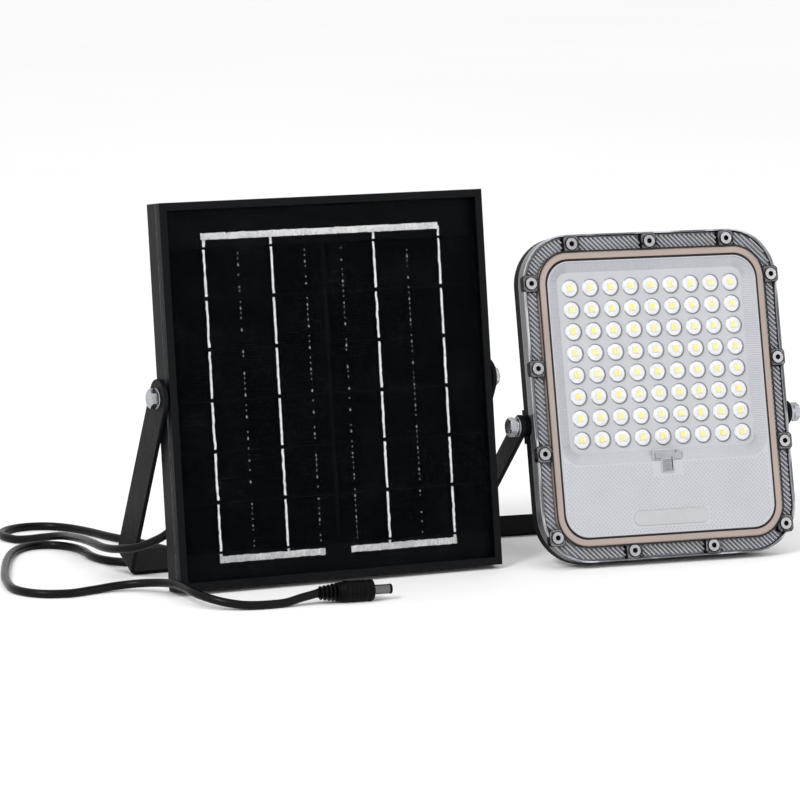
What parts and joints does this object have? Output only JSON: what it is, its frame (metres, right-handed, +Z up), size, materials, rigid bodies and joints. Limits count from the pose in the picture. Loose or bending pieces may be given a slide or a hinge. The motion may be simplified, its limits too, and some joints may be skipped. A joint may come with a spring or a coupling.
{
  "type": "solar flood light",
  "caption": "Framed solar panel on a tilting bracket with a free power lead, and a matching flood lamp with a lens array on its own tilting bracket",
  "frame": {"origin": "middle of the footprint of the two standing units, on the surface they stand on, the free lead left out", "axes": "+X along the row of the two units, from the panel to the lamp, +Y away from the viewer to the back, +Z up"},
  "size_m": [0.4883, 0.276, 0.2201],
  "materials": {
    "black_aluminium": "black anodised, satin",
    "bare_aluminium": "plain, satin",
    "panel_glass": "low-iron tempered glass, fine texture, clear",
    "silver_ribbon": "tinned copper ribbon, bright",
    "solar_cell": "near-black silicon with fine finger lines",
    "black_sheet": "matte film",
    "black_plastic": "fine texture",
    "white_plastic": "satin",
    "black_epoxy": "satin",
    "black_nylon": "satin",
    "zinc_steel": "bright zinc plate",
    "black_rubber": "matte",
    "black_steel": "black powder coat, satin",
    "cord_sheath": "black PVC, satin",
    "plug_rubber": "black moulded PVC, satin",
    "nickel": "bright nickel plate",
    "housing_black": "black powder coat, satin to glossy",
    "smoked_cover": "clear grey polycarbonate, glossy, ribbed underneath",
    "tan_silicone": "tan silicone, satin",
    "white_optic": "milky white polycarbonate, satin",
    "clear_lens": "clear moulded lens, glossy",
    "led_phosphor": "yellow phosphor, satin",
    "white_board": "white solder mask",
    "frosted_window": "frosted clear plastic",
    "green_board": "green solder mask",
    "battery_sleeve": "blue shrink sleeve",
    "stainless": "stainless, bright",
    "brass": "brass, plain"
  },
  "bodies": {
    "panel_bracket": {"panel_bracket": "black_steel", "cord_lead": "cord_sheath", "cord_loops": "cord_sheath", "cord_coil": "cord_sheath", "cord_tie": "black_nylon", "cord_end": "cord_sheath", "plug_relief": "plug_rubber", "plug_body": "plug_rubber", "plug_sleeve": "nickel", "plug_insulator": "black_plastic", "plug_contact": "nickel"},
    "panel": {"frame_left": "black_aluminium", "frame_right": "black_aluminium", "frame_top": "black_aluminium", "frame_bottom": "black_aluminium", "corner_keys": "bare_aluminium", "solar_glass": "panel_glass", "cell_ribbons": "silver_ribbon", "solar_cells": "solar_cell", "backsheet": "black_sheet", "junction_box": "black_plastic", "junction_lid": "black_plastic", "junction_terminals": "white_plastic", "blocking_diode": "black_epoxy", "panel_gland": "black_nylon", "panel_gland_nut": "black_nylon", "panel_pivot_bolts": "zinc_steel", "panel_washers": "zinc_steel", "panel_spacers": "black_rubber", "panel_nuts": "zinc_steel"},
    "lamp_bracket": {"lamp_bracket": "black_steel"},
    "lamp": {"lamp_housing": "housing_black", "cover_frame": "smoked_cover", "cover_gasket": "tan_silicone", "lens_plate": "white_optic", "led_lenses": "clear_lens", "led_chips": "led_phosphor", "led_board": "white_board", "heat_plate": "bare_aluminium", "sensor_window": "frosted_window", "infrared_receiver": "black_epoxy", "indicator_window": "frosted_window", "indicator_board": "green_board", "battery_cells": "battery_sleeve", "battery_holder": "black_plastic", "control_board": "green_board", "board_parts": "black_epoxy", "board_screws": "zinc_steel", "cover_screws": "stainless", "cover_inserts": "brass", "lamp_gland": "black_nylon", "lamp_gland_nut": "black_nylon", "lamp_pivot_bolts": "zinc_steel", "lamp_spring_washers": "zinc_steel", "lamp_flat_washers": "zinc_steel", "lamp_inserts": "brass"}
  },
  "joints": [
    {"name": "panel_tilt", "type": "hinge", "parent": "panel_bracket", "child": "panel", "pos_m": [-0.095, -0.00411, 0.10976], "axis": [1, 0, 0], "range_deg": [-80, 90], "deforming": ["cord_lead"]},
    {"name": "lamp_unit_slide", "type": "slide", "parent": "panel_bracket", "child": "lamp_bracket", "axis": [1, 0, 0], "range_m": [0, 0.3]},
    {"name": "lamp_tilt", "type": "hinge", "parent": "lamp_bracket", "child": "lamp", "pos_m": [0.11119, -0.02594, 0.08118], "axis": [0.9963, -0.0854, 0], "range_deg": [-100, 120]}
  ]
}
